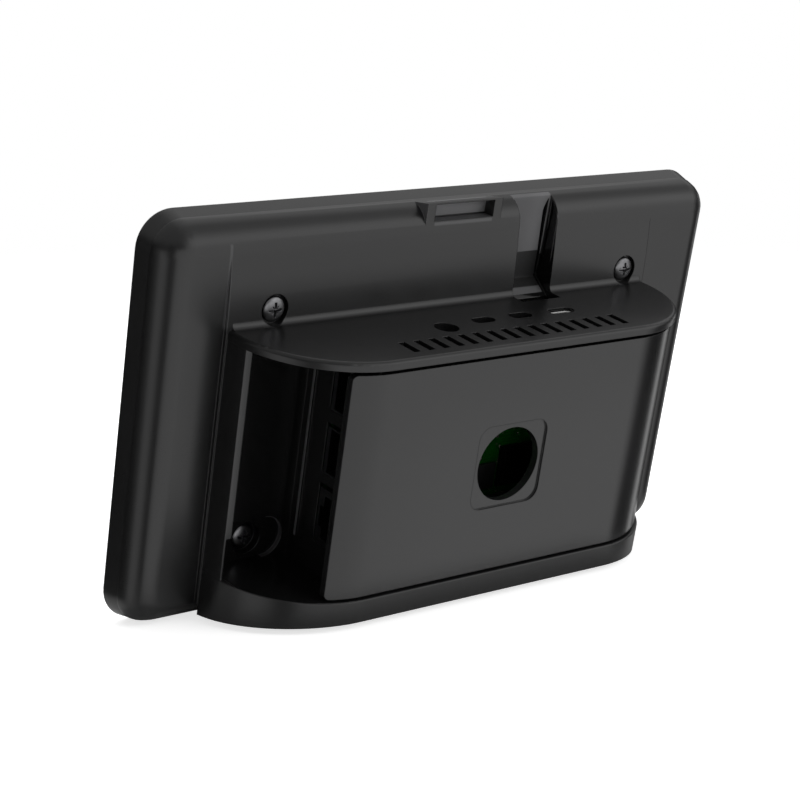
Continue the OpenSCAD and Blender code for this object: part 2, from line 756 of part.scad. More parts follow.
// A round lead along a flat path of [y, z] points
module tube(path, r) {
    n = 12;
    m = len(path);
    side = beside(path, 1) - path;
    rings = [for (i = [0 : m - 1], k = [0 : n - 1])
        [r * sin(360 * k / n), path[i][0] + r * cos(360 * k / n) * side[i][0],
            path[i][1] + r * cos(360 * k / n) * side[i][1]]];
    skin = [for (i = [0 : m - 2], k = [0 : n - 1])
        [i * n + k, (i + 1) * n + k, (i + 1) * n + (k + 1) % n, i * n + (k + 1) % n]];
    ends = [[for (k = [0 : n - 1]) k], [for (k = [n - 1 : -1 : 0]) (m - 1) * n + k]];
    polyhedron(rings, concat(skin, ends));
}

// One power lead: out of the driver board, under the computer board's edge and over to its header pin
module power_lead(k) {
    pin = on_board(header_at[0] + (8.5 - k) * 2.54, header_at[1] + 1.27);
    from_y = driver_back + 2.5;
    to_y = pin[1] + plug_top + 0.02;
    route = [[from_y - 2, -29], [from_y, -29], [0.5, -29.3], [3.6, -31.6], [6.5, -34.2], [11, -34.8],
        [20, -34.6], [25.4, -33.2], [26.2, -31], [to_y + 1.3, pin[2]], [to_y, pin[2]], [to_y - 2, pin[2]]];
    translate([pin[0], 0, 0]) tube(concat(curve(route, 4), [[to_y, pin[2]]]), 0.65);
}

module red_lead() color("#b3262a") place() power_lead(0);
module black_lead() color("#1a1a1b") place() power_lead(1);

// Plugs of those leads on the header pins
module lead_plugs() color("#141415") place() for (k = [0, 1])
    translate(on_board(header_at[0] + (8.5 - k) * 2.54, header_at[1] + 1.27)) difference() {
        span_box([-1.2, 2.7, -1.2], [1.2, plug_top, 1.2]);
        span_box([-0.5, 1, -0.5], [0.5, plug_top - 1.5, 0.5]);
    }

front_bezel();
touch_glass();
bonding_tape();
lcd_cell();
backlight_guide();
lcd_metal_back();
panel_bushes();
panel_posts();
driver_board();
driver_chips();
driver_sockets();
panel_flex();
touch_flex();
back_shell();
panel_screws();
rear_cover();
rubber_feet();
computer_board();
board_standoffs();
board_screws();
processor();
memory_chip();
board_chips();
radio_shield();
pin_header();
header_pins();
usb_ports();
usb_tongues();
ethernet_jack();
usb_c_port();
micro_hdmi_ports();
av_jack();
av_jack_barrel();
display_socket();
display_latch();
camera_socket();
camera_latch();
card_slot();
micro_sd_card();
display_ribbon();
red_lead();
black_lead();
lead_plugs();
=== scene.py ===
import math

import bmesh
import bpy
import numpy as np
from mathutils import Matrix


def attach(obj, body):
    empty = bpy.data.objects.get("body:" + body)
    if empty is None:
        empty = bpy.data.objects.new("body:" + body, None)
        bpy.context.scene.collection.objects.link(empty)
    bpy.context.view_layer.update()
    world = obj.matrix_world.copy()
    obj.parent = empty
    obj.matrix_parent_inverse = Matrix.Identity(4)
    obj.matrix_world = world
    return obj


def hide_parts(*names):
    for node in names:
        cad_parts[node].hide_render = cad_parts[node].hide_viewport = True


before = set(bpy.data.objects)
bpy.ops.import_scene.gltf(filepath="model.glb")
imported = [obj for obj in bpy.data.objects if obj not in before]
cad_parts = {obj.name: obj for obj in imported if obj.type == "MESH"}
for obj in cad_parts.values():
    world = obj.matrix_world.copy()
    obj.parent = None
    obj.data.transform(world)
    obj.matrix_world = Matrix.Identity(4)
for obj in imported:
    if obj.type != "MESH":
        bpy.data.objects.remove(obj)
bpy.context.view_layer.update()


# Front bezel: the frame round the glass, moulded in black plastic with a fine spark-eroded grain.
# It snaps to the back shell along the parting line, and its front edge is rolled.
class Field:
    """A value spread over a surface: one socket of a material's node tree.
    Operators between fields, or a number and a field, each add one Math node."""

    def __init__(self, tree, socket):
        self.tree = tree
        self.socket = socket

    def node(self, kind, settings=None, sockets=None, out=0):
        """Adds a node: its settings come first, then its sockets take numbers, colours or fields."""
        made = self.tree.nodes.new("ShaderNode" + kind)
        for key, value in (settings or {}).items():
            setattr(made, key, value)
        for key, value in (sockets or {}).items():
            if isinstance(value, Field):
                self.tree.links.new(value.socket, made.inputs[key])
            else:
                made.inputs[key].default_value = (*value, 1.0) if isinstance(value, tuple) else value
        return Field(self.tree, made.outputs[out])

    def math(self, operation, first, second=0.0):
        """One Math node on two numbers or fields."""
        return self.node("Math", {"operation": operation}, {0: first, 1: second})

    def __add__(self, other):
        return self.math("ADD", self, other)

    __radd__ = __add__

    def __sub__(self, other):
        return self.math("SUBTRACT", self, other)

    def __rsub__(self, other):
        return self.math("SUBTRACT", other, self)

    def __mul__(self, other):
        return self.math("MULTIPLY", self, other)

    __rmul__ = __mul__

    def axes(self):
        """The three parts of a vector."""
        outputs = self.node("SeparateXYZ", {}, {0: self}).socket.node.outputs
        return [Field(self.tree, outputs[k]) for k in range(3)]

    def step(self, start, end):
        """0 up to start, 1 beyond end and a smooth step between them; start may be the larger."""
        return self.node("MapRange", {"interpolation_type": "SMOOTHSTEP"}, {0: self, 1: start, 2: end})

    def within(self, low, high, soft):
        """1 between low and high, 0 outside, with an edge that is soft to either side."""
        return self.step(low - soft, low + soft) * self.step(high + soft, high - soft)


def finish(name, constants, vary):
    """A Principled material. constants go on its sockets; vary(coords) returns the fields
    that change over the surface, by socket name."""
    material = bpy.data.materials.new(name)
    material.use_nodes = True
    tree = material.node_tree
    shader = tree.nodes["Principled BSDF"]
    for key, value in constants.items():
        shader.inputs[key].default_value = value
    coords = Field(tree, None).node("TexCoord", out=3)
    for key, value in vary(coords).items():
        tree.links.new(value.socket, shader.inputs[key])
    return material


def speckle(coords, size):
    """Soft noise from 0 to 1 whose blotches are about size metres across."""
    return coords.node("TexNoise", {}, {"Vector": coords, "Scale": 1.0 / size, "Detail": 2.0})


def between(mask, under, over):
    """The colour under where the mask is 0 and over where it is 1."""
    return mask.node("Mix", {"data_type": "RGBA"}, {0: mask, 6: under, 7: over}, out=2)


lean = math.radians(12.5)
middle_back, middle_up = -5.618517, 53.0  # middle of the panel screws over the table, in mm


def leaning(coords):
    """Place on the leaning housing in millimetres: across it, out of its back and up the display,
    which are the table's axes turned by the lean about the middle of the panel screws."""
    across, back, up = coords.axes()
    back = 1000 * back - middle_back
    up = 1000 * up - middle_up
    return (1000 * across, math.cos(lean) * back - math.sin(lean) * up,
            math.sin(lean) * back + math.cos(lean) * up)


def grey(level):
    """A neutral colour, a touch cooler than plain grey."""
    return (level, level, 1.03 * level)


def moulded(name, dark, light, satin, patches=None, soft_corners=None):
    """Satin black plastic: faint mottling, a fine grain and edges softened everywhere but at the tight
    parting line. patches(place) lists (mask, grey level, roughness) where the finish differs, and its
    grey levels are painted light and shade; soft_corners masks a wider fillet."""
    def vary(coords):
        place = leaning(coords)
        cloud = speckle(coords, 0.018)
        pits = speckle(coords, 0.00022)
        colour = between(cloud, grey(dark), grey(light))
        rough = satin + 0.10 * (pits - 0.5) + 0.05 * (cloud - 0.5)
        for mask, level, gloss in patches(place) if patches else ():
            # Painted light and shade: each patch's grey level replaces the plastic's colour under its
            # mask.
            colour = between(mask, colour, grey(level))
            rough = rough + mask * (gloss - rough)
        edge = coords.node("Bevel", {"samples": 6}, {"Radius": 0.0003})
        parting = place[1].within(-9.45, -8.55, 0.1)
        edge = coords.node("Mix", {"data_type": "VECTOR"},
                           {0: parting, 4: edge, 5: coords.node("NewGeometry", out=1)}, out=1)
        if soft_corners:
            fillet = coords.node("Bevel", {"samples": 8}, {"Radius": 0.0014})
            edge = coords.node("Mix", {"data_type": "VECTOR"},
                               {0: soft_corners(place), 4: edge, 5: fillet}, out=1)
        return {"Base Color": colour, "Roughness": rough,
                "Normal": coords.node("Bump", {}, {"Strength": 0.06, "Distance": 0.00006,
                                                   "Height": pits, "Normal": edge})}
    return finish(name, {"IOR": 1.5}, vary)


def add_piece(name, mesh, body, material, replaces):
    """Links a finished mesh, gives it its material, ties it to its body and hides the CAD node that it
    replaces.
    """
    piece = bpy.data.objects.new(name, mesh)
    bpy.context.scene.collection.objects.link(piece)
    mesh.materials.clear()
    mesh.materials.append(material)
    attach(piece, body)
    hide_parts(replaces)
    return piece


def welded(node, crease):
    """The solid's own skin with its triangles joined at their corners, and smooth wherever
    two faces meet at less than the crease angle in degrees."""
    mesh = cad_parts[node].data.copy()
    if "custom_normal" in mesh.attributes:
        mesh.attributes.remove(mesh.attributes["custom_normal"])
    work = bmesh.new()
    work.from_mesh(mesh)
    bmesh.ops.remove_doubles(work, verts=work.verts, dist=2e-6)
    work.to_mesh(mesh)
    work.free()
    mesh.shade_smooth()
    mesh.set_sharp_from_angle(angle=math.radians(crease))
    return mesh


def even_normals(piece):
    """Large flat faces keep their own normals and the small rounded ones turn between them."""
    turn = piece.modifiers.new("even normals", "WEIGHTED_NORMAL")
    turn.mode = "FACE_AREA"
    turn.weight = 50
    turn.keep_sharp = True


bezel_plastic = moulded("bezel plastic", 0.0055, 0.0075, 0.30)
even_normals(add_piece("bezel_moulding", welded("front_bezel", 32), "housing",
                       bezel_plastic, "front_bezel"))


# Touch glass: a float glass plate with ground edges, printed black on its inner side.
# It drops into the bezel; the window of the display shows a little lighter inside the print.
def solid(name, verts, faces):
    """A mesh from an array of corners and an array or list of faces."""
    mesh = bpy.data.meshes.new(name)
    mesh.from_pydata(np.asarray(verts).tolist(), [], [list(map(int, face)) for face in faces])
    mesh.validate()
    mesh.shade_smooth()
    mesh.set_sharp_from_angle(angle=math.radians(40))
    return mesh


def lean_back(across, out, up):
    """World places in metres of places on the leaning housing in millimetres:
    out and up turn by the lean, then move to the middle of the panel screws."""
    return np.stack([across, out * math.cos(lean) + up * math.sin(lean) + middle_back,
                     up * math.cos(lean) - out * math.sin(lean) + middle_up], -1) / 1000


def swept_faces(rows, columns):
    """Faces of a grid whose columns close on themselves, with one flat face on each end: rows run
    out of the back, and columns turn from across to up, so that the faces look outwards."""
    row, column = np.meshgrid(np.arange(rows - 1), np.arange(columns), indexing="ij")
    after = (column + 1) % columns
    sides = np.stack([row * columns + column, (row + 1) * columns + column,
                      (row + 1) * columns + after, row * columns + after], -1).reshape(-1, 4)
    end = np.arange(columns)
    return [*sides, end, ((rows - 1) * columns + end)[::-1]]


glass_half = np.array([96.48, 55.38])
glass_corner = 8.0
glass_front, glass_back = -14.7, -13.5
glass_middle = 0.6
ground_edge = 0.35
columns = 96
turn = 2 * np.pi * (np.arange(columns) + 0.5) / columns
roll = np.radians(np.linspace(0, 90, 8))
inset = ground_edge * (1 - np.concatenate([np.sin(roll), np.cos(roll)]))
depth = np.concatenate([glass_front + ground_edge * (1 - np.cos(roll)),
                        glass_back - ground_edge * (1 - np.sin(roll))])
quarter = np.stack([np.sign(np.cos(turn)), np.sign(np.sin(turn))], -1) * (glass_half - glass_corner)
round_r = glass_corner - inset[:, None]
verts = lean_back(quarter[:, 0] + round_r * np.cos(turn), depth[:, None] + 0 * turn,
                  glass_middle + quarter[:, 1] + round_r * np.sin(turn)).reshape(-1, 3)
faces = swept_faces(len(inset), columns)


def printed_glass(coords):
    """Black print round the window, which is 154 by 86 mm, and faint smears in the polish."""
    across, out, up = leaning(coords)
    window = across.within(-77, 77, 0.15) * up.within(-42.4, 43.6, 0.15)
    return {"Base Color": between(window, (0.0035, 0.0035, 0.004), (0.012, 0.013, 0.016)),
            "Roughness": 0.04 + 0.05 * speckle(coords, 0.03)}


cover_glass = finish("cover glass", {"IOR": 1.52, "Coat Weight": 0.6}, printed_glass)
add_piece("touch_glass_plate", solid("touch_glass_plate", verts, faces), "housing",
          cover_glass, "touch_glass")


# Layers behind the glass: black foam tape, the liquid crystal cell, the acrylic light guide
# and the pressed metal back, all stacked flat and clipped together.
def dress(nodes, material):
    """Gives CAD nodes that are already right their finished material."""
    for node in nodes:
        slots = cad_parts[node].material_slots
        if slots:
            slots[0].material = material
        else:
            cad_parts[node].data.materials.append(material)


def blotched(name, dark, light, size, rough):
    """A material whose colour and roughness drift together in blotches of the given size."""
    def vary(coords):
        cloud = speckle(coords, size)
        return {"Base Color": between(cloud, dark, light), "Roughness": rough + 0.12 * (cloud - 0.5)}
    return finish(name, {}, vary)


def brushed(name, dark, light, rough):
    """Rolled sheet metal: fine streaks along the display's width, 40 times longer than they are wide."""
    def vary(coords):
        across, out, up = leaning(coords)
        grid = coords.node("CombineXYZ", {}, {0: 0.025 * across, 1: out, 2: up})
        streak = coords.node("TexNoise", {}, {"Vector": grid, "Scale": 6.0, "Detail": 3.0})
        return {"Base Color": between(streak, dark, light), "Roughness": rough + 0.2 * (streak - 0.5)}
    return finish(name, {"Metallic": 1.0}, vary)


dress(["bonding_tape"], blotched("black foam", grey(0.010), grey(0.022), 0.0008, 0.9))
dress(["lcd_cell"], blotched("panel glass", (0.018, 0.018, 0.022), (0.028, 0.028, 0.034), 0.01, 0.1))
dress(["backlight_guide"], blotched("clear acrylic", (0.70, 0.72, 0.74), (0.76, 0.78, 0.80), 0.01, 0.2))
dress(["lcd_metal_back"], brushed("panel metal", (0.50, 0.50, 0.49), (0.64, 0.64, 0.63), 0.35))
dress(["panel_bushes"], brushed("turned steel", (0.52, 0.52, 0.53), (0.66, 0.66, 0.67), 0.3))


# Driver board of the panel: a green board on short brass posts, with its chips and white sockets,
# and the two amber tails that fold round the panel's edge into it.
def printed_board(name, dark, light):
    """Solder mask over copper: fine tracks in two directions, each kept to its own blotches of
    the board, and tinned spots in the holes of a cell pattern."""
    def vary(coords):
        across, out, up = leaning(coords)
        cloud = speckle(coords, 0.009)
        tracks_up = coords.math("SINE", 7.0 * across).step(0.45, 0.75) * cloud.step(0.50, 0.54)
        tracks_across = coords.math("SINE", 7.0 * up).step(0.45, 0.75) * cloud.step(0.47, 0.43)
        cells = coords.node("TexVoronoi", {}, {"Vector": coords, "Scale": 420.0})
        spots = cells.step(0.24, 0.18)
        mask = between(tracks_up + tracks_across, dark, light)
        return {"Base Color": between(spots, mask, (0.42, 0.40, 0.34)), "Roughness": 0.35 - 0.1 * spots,
                "Metallic": 0.8 * spots}
    return finish(name, {"Coat Weight": 0.1, "Coat Roughness": 0.12}, vary)


board_green = printed_board("board green", (0.001, 0.080, 0.002), (0.003, 0.130, 0.005))
brass = brushed("brass", (0.58, 0.40, 0.15), (0.72, 0.52, 0.22), 0.3)
chip_black = blotched("chip black", grey(0.011), grey(0.020), 0.0006, 0.5)
socket_cream = blotched("socket cream", (0.60, 0.56, 0.46), (0.70, 0.66, 0.56), 0.002, 0.5)
dress(["driver_board"], board_green)
dress(["panel_posts"], brass)
dress(["driver_chips"], chip_black)
dress(["driver_sockets"], socket_cream)


def amber_film(coords):
    """Polyimide over copper: pale conductors 0.5 mm apart along the tail."""
    pitch = 0.5
    across, out, up = leaning(coords)
    lines = coords.math("SINE", 2 * math.pi / pitch * across).step(-0.2, 0.4)
    return {"Base Color": between(lines, (0.22, 0.075, 0.010), (0.42, 0.17, 0.022)),
            "Roughness": 0.25 + 0.15 * speckle(coords, 0.002)}


dress(["panel_flex", "touch_flex"], finish("flex amber", {"Coat Weight": 0.3}, amber_film))


# Back shell: the housing's back with its shelf, short side walls, port wall and wedge base.
# One black satin moulding, polished in the port bay, the cable channel and the camera pocket, with light
# and shade painted into its colour in those places.
def bay_places(across, out, up):
    """The port bay at the plastic's darkest grey, a painted highlight along its rail, painted light on
    the end of its side wall and on the step wall above the shelf, and a painted highlight on the edge of
    the dish that a screwdriver reaches the lower screw through."""
    dish_across, dish_up, dish_r = 58.1, -32.825, 5.9
    bay = across.within(48.4, 75.25, 0.1) * up.within(-38.9, 26.25, 0.1) * out.within(-1.4, 31.8, 0.1)
    rail_highlight = across.within(50.5, 50.8, 0.05) * up.within(-32, 24, 0.3) * out.within(3.1, 4.1, 0.05)
    wall_end = across.within(74.9, 77.5, 0.2) * out.within(7.8, 8.2, 0.1) * up.within(-38.6, 26.2, 0.2)
    step_wall = across.within(77.5, 78.3, 0.2) * up.step(28.0, 30.0) * out.within(-1.6, 0.1, 0.1)
    aside, above = across - dish_across, up - dish_up
    reach = across.math("SQRT", aside * aside + above * above)
    dish_edge_highlight = (reach.within(dish_r - 0.15, dish_r + 0.2, 0.1)
                 * aside.step(0.5, -0.5) * out.within(-1.3, 0.2, 0.1))
    # Every grey level but the bay's is painted light: highlights on the rail and the dish's edge, light
    # on the wall's end and the step wall.
    return ((bay, 0.0055, 0.26), (rail_highlight, 0.080, 0.25), (wall_end, 0.020, 0.2),
            (step_wall, 0.045, 0.4), (dish_edge_highlight, 0.045, 0.3))


def channel_places(across, out, up):
    """The cable channel, with light and shade painted into its colour: walls painted darker, a painted
    highlight in the corner of the floor and the far wall and two along the far wall, a floor painted
    pale down to the step and paler towards its foot and far side, painted darker below the step and
    darkest on the slope, and a painted highlight on the lip of the slot. The floors stop short of a dark
    strip along the far wall, whose edge bends away near the top."""
    floor_step, floor_foot, lip_foot = 39.5, 29.6, 28.1
    channel = (across.within(-33.95, -19.35, 0.05)
               * up.within(26.5, 57.6, 0.1) * out.within(-7, -0.2, 0.1))
    bend = across.math("MAXIMUM", up - 50.5, 0.0)
    clear = channel * (across - 0.058 * up + 0.08 * bend * bend).step(-34.70, -34.60)
    upper_floor = clear * up.within(floor_step, 57.6, 0.1) * out.step(-5.0, -5.25)
    far_foot = 0.33 * up.step(58, 40) + 0.67 * across.step(-24, -32.5) * up.step(66, 42)
    lower_floor = clear * up.within(floor_foot, floor_step, 0.1) * out.step(-2.9, -3.1)
    slope = clear * up.within(floor_foot, 31.4, 0.15)
    slot_lip = clear * up.within(lip_foot, floor_foot - 0.1, 0.1)
    corner_highlight = (channel * across.within(-33.75, -33.3, 0.1)
                   * up.within(38.3, 57, 0.3) * out.step(-4.9, -5.3))
    far_wall = channel * across.step(-33.5, -33.6)
    streak = far_wall * up.within(47, 54.5, 2.0) * out.within(-4.95, -4.65, 0.12)
    rim_highlight = far_wall * up.within(38, 54, 2.0) * out.within(-1.7, -1.35, 0.15)
    # All these grey levels are painted light and shade: darker walls, pale and dark floors and painted
    # highlights in the corner, along the far wall and on the lip.
    return ((channel, 0.003, 0.10), (upper_floor, 0.090, 0.6), (upper_floor * far_foot, 0.172, 0.6),
            (lower_floor, 0.011, 0.6), (slope, 0.003, 0.8), (slot_lip, 0.085, 0.6),
            (corner_highlight, 0.085, 0.3), (streak, 0.10, 0.3), (rim_highlight, 0.10, 0.3))


def pocket_places(across, out, up):
    """The camera pocket, with light and shade painted into its colour: walls in a painted dark grey, a
    floor painted pale with a painted dark line at its foot, a painted grey sill, a painted highlight on
    the eased rim below it and painted light on the flank of the block that it is cut in."""
    sill = 52.4
    pocket = (across.within(-9.3, 11.9, 0.1)
              * up.within(sill - 0.1, 57.3, 0.1) * out.within(-6, -1.8, 0.1))
    floor = pocket * out.step(-5.3, -5.5) * up.step(sill + 0.2, sill + 0.5)
    foot = pocket * up.step(sill + 0.35, sill + 0.2) * out.step(-5.1, -5.25)
    ledge = pocket * up.step(sill + 0.15, sill + 0.05) * out.step(-5.1, -4.9)
    rim = across.within(-9.0, 11.6, 0.2) * up.within(51.3, sill - 0.2, 0.3) * out.within(-2.2, 0.4, 0.1)
    flank = across.within(14.55, 14.85, 0.05) * up.within(sill, 58.5, 0.3) * out.step(-0.1, -0.3)
    # All these grey levels are painted light and shade, standing in for the pocket's lighting.
    return ((pocket, 0.012, 0.4), (floor, 0.180, 0.6), (foot, 0.003, 0.5), (ledge, 0.060, 0.5),
            (rim, 0.060, 0.3), (flank, 0.070, 0.5))


def polish_and_painted_light(place):
    """Masks of the polished places, with the grey level of their painted light and shade and the
    roughness of each.
    """
    return (*bay_places(*place), *channel_places(*place), *pocket_places(*place))


def cable_corners(place):
    """Mask of the cable channel's inside, where the corners are filleted."""
    across, out, up = place
    return across.within(-33.85, -19.45, 0.05) * up.within(32.0, 55.5, 0.5) * out.step(-1.4, -1.9)


housing_plastic = moulded("housing plastic", 0.0055, 0.0075, 0.30, polish_and_painted_light, cable_corners)
even_normals(add_piece("back_moulding", welded("back_shell", 32), "housing",
                       housing_plastic, "back_shell"))


# Panel screws: zinc-plated pan heads with a cross recess, turned and rolled from wire.
# They go through the counterbores of the back shell into the panel's bushes.
screw_columns, shank_rows, dome_rows = 144, 5, 48


def cross_arms(x, z, length, width, edge):
    """1 inside the two crossed arms of a recess, 0 outside, with walls that slope over the edge."""
    def arm(along, aside):
        return (np.clip((length - np.abs(along)) / edge + 0.5, 0, 1)
                * np.clip((width - np.abs(aside)) / edge + 0.5, 0, 1))
    return np.maximum(arm(x, z), arm(z, x))


def turned_screw(across, up, seat, tip, head_r, head_t, shank_r):
    """Corners of one screw, row by row from its tip. The head is a flattened dome,
    height = flank + dome * (1 - (r / head_r) ** 2.4) ** (1 / 2.4), and the recess takes
    0.45 of the head's height off along the two arms of the cross and half that on the ticks between."""
    bulge = 2.4
    chamfer = 0.3
    turn = np.linspace(0, 2 * np.pi, screw_columns, endpoint=False)
    lift = np.radians(np.linspace(90, 0.4, dome_rows))
    flank = 0.3 * head_t
    dome = (1 - np.sin(lift) ** bulge) ** (1 / bulge)
    shank = [0.02, shank_r - chamfer, shank_r, shank_r, head_r - 0.1]
    r = np.concatenate([shank, head_r * np.sin(lift)])
    h = np.concatenate([[tip, tip, tip + chamfer, seat, seat], seat + flank + (head_t - flank) * dome])
    x, z = r[:, None] * np.cos(turn), r[:, None] * np.sin(turn)
    length, width, edge = 0.56 * head_r, 0.085 * head_r, 0.05 * head_r
    cross = cross_arms(x, z, length, width, edge)
    ticks = cross_arms((x + z) * 0.707, (x - z) * 0.707, 0.66 * length, 0.3 * width, edge)
    sunk = 0.45 * head_t * np.maximum(cross, 0.5 * ticks)
    sunk[:shank_rows] = 0
    return lean_back(across + x, h[:, None] - sunk, up + z).reshape(-1, 3)


def repeated(one, corners, count):
    """The faces of one piece again for each of several copies, whose corners follow each other."""
    return [face + k * corners for k in range(count) for face in one]


def screw_set(name, screws):
    """One mesh of several screws, each closed at its tip and at the middle of its recess."""
    rows = shank_rows + dome_rows
    faces = repeated(swept_faces(rows, screw_columns), rows * screw_columns, len(screws))
    return solid(name, np.concatenate(screws), faces)


def zinc(coords):
    """Dull zinc: a drifting grey with finely mottled roughness."""
    cloud = speckle(coords, 0.0012)
    return {"Base Color": between(cloud, grey(0.13), grey(0.24)),
            "Roughness": 0.26 + 0.14 * speckle(coords, 0.0003)}


screw_steel = finish("screw steel", {"Metallic": 1.0}, zinc)
upper_seat, lower_seat, panel_tip = -1.7, -3.8, -7.4
panel_set = [turned_screw(x, z, seat, panel_tip, head_r=3.5, head_t=1.9, shank_r=1.5)
             for x in (-63.1, 63.1) for z, seat in ((-32.825, lower_seat), (32.825, upper_seat))]
add_piece("panel_screw_set", screw_set("panel_screw_set", panel_set), "housing",
          screw_steel, "panel_screws")


# Computer board: the green single-board computer on four brass standoffs, held by small screws.
# Its processor has a dark lid and its radio a bright one, and its other chips are black epoxy.
dress(["computer_board"], board_green)
dress(["board_standoffs"], brass)
board_top, board_tip = 12.6, 7.2
board_set = [turned_screw(x, z, board_top, board_tip, head_r=2.3, head_t=1.6, shank_r=1.2)
             for x in (-33.2, 24.8) for z in (-28.5, 20.5)]
add_piece("board_screw_set", screw_set("board_screw_set", board_set), "housing",
          screw_steel, "board_screws")
port_metal = brushed("port metal", (0.60, 0.60, 0.59), (0.72, 0.72, 0.71), 0.28)
dress(["processor"], brushed("chip metal", grey(0.030), grey(0.050), 0.5))
dress(["radio_shield"], port_metal)
dress(["memory_chip", "board_chips", "pin_header"], chip_black)
dress(["header_pins"], brushed("gold pin", (0.70, 0.50, 0.17), (0.82, 0.62, 0.25), 0.25))


# Ports: folded tin-plated boxes soldered along two edges of the board, with black tongues,
# and the black audio socket with its round barrel.
def inlet_tin(coords):
    """Bright tin, with a dull pale cut edge on the rim that shows in the shelf."""
    across, out, up = leaning(coords)
    rim = up.step(27.3, 27.6)
    return {"Base Color": between(rim, (0.60, 0.60, 0.59), (0.62, 0.62, 0.61)),
            "Metallic": 1.0 - rim, "Roughness": 0.28 + 0.2 * rim + 0.1 * speckle(coords, 0.002)}


dress(["usb_c_port"], finish("inlet tin", {}, inlet_tin))
dress(["micro_hdmi_ports"], port_metal)
# The USB and network shells are tin painted dark, as painted shade deep in the port bay.
shade_painted_tin = brushed("dark port metal", grey(0.07), grey(0.12), 0.34)
dress(["usb_ports", "ethernet_jack"], shade_painted_tin)
tongue_plastic = blotched("tongue plastic", grey(0.010), grey(0.017), 0.001, 0.5)
dress(["usb_tongues"], tongue_plastic)
dress(["av_jack", "av_jack_barrel"], chip_black)


# Flat-cable sockets with their latch bars, the white ribbon and the two power leads.
# The ribbon is flat copper between two polyester films; the leads are PVC over stranded wire.
def ribbon_film(coords):
    """White film with a grey line over each conductor, 1 mm apart up the display."""
    pitch = 1.0
    across, out, up = leaning(coords)
    lines = coords.math("SINE", 2 * math.pi / pitch * up).step(0.1, 0.6)
    return {"Base Color": between(lines, (0.78, 0.79, 0.80), (0.60, 0.61, 0.63)),
            "Roughness": 0.35 + 0.15 * speckle(coords, 0.003)}


latch_plastic = blotched("latch plastic", grey(0.015), grey(0.026), 0.001, 0.5)
dress(["display_socket", "camera_socket"], socket_cream)
dress(["display_latch", "camera_latch"], latch_plastic)
dress(["display_ribbon"], finish("ribbon white", {}, ribbon_film))
dress(["red_lead"], blotched("red lead", (0.34, 0.012, 0.010), (0.45, 0.018, 0.014), 0.002, 0.4))
dress(["black_lead"], blotched("black lead", grey(0.010), grey(0.018), 0.002, 0.4))
dress(["lead_plugs"], chip_black)


# Memory card: a black moulded wafer in a pressed metal holder under the end of the board.
# It slides out of the open end of the holder.
dress(["card_slot"], port_metal)
card_plastic = blotched("card plastic", (0.010, 0.010, 0.012), (0.017, 0.017, 0.019), 0.002, 0.4)
dress(["micro_sd_card"], card_plastic)


# Rear cover: the curved lid of the box, which pulls off between the shelf and the base.
# The same plastic as the housing, moulded separately, with a square recess round its vent and painted
# light across its flat.
def painted_light_middle(place):
    """Mask of the cover's flat, painted a little paler than its top and its free edge, as painted light.
    """
    across, out, up = place
    return ((up.step(24, -6) * across.step(58, 20), 0.0130, 0.22),)


cover_plastic = moulded("cover plastic", 0.0060, 0.0085, 0.22, painted_light_middle)
even_normals(add_piece("cover_moulding", welded("rear_cover", 32), "cover",
                       cover_plastic, "rear_cover"))


# Rubber feet: black pads glued under the wedge base, with a rounded lower edge.
# They are moulded in silicone with a dull skin.
foot_r, foot_h, foot_roll = 5.5, 1.8, 0.9
front_row, back_row = -10.4185, 6.8815
columns = 64
turn = np.linspace(0, 2 * np.pi, columns, endpoint=False)
roll = np.radians(np.linspace(0, 90, 9))
r = np.concatenate([[0.02], foot_r - foot_roll * (1 - np.sin(roll)), [foot_r, 0.02]])
h = np.concatenate([[0.0], foot_roll * (1 - np.cos(roll)), [foot_h, foot_h]])
foot = np.stack([r[:, None] * np.cos(turn), -r[:, None] * np.sin(turn), h[:, None] + 0 * turn], -1)
spots = np.array([(-54.9, front_row, 0), (61.1, front_row, 0),
                  (-40.9, back_row, 0), (47.1, back_row, 0)])
verts = (foot.reshape(1, -1, 3) + spots[:, None]).reshape(-1, 3) / 1000
faces = repeated(swept_faces(len(r), columns), len(r) * columns, len(spots))
foot_rubber = blotched("foot rubber", grey(0.012), grey(0.021), 0.0006, 0.8)
add_piece("foot_pads", solid("foot_pads", verts, faces), "housing",
          foot_rubber, "rubber_feet")


# The table and studio: a pale floor that keeps the shadow, soft panels and the camera.
# Reflections see the studio as a ring of soft panels with a pale ceiling; the eye sees plain white.
def ray_kinds(coords):
    """1 for the rays that the eye sees, straight or through clear pieces, and 1 for mirror rays."""
    eye_ray = coords.node("LightPath", out=0)
    clear_ray = coords.node("LightPath", out=6)
    return coords.math("MAXIMUM", eye_ray, clear_ray), coords.node("LightPath", out=3)


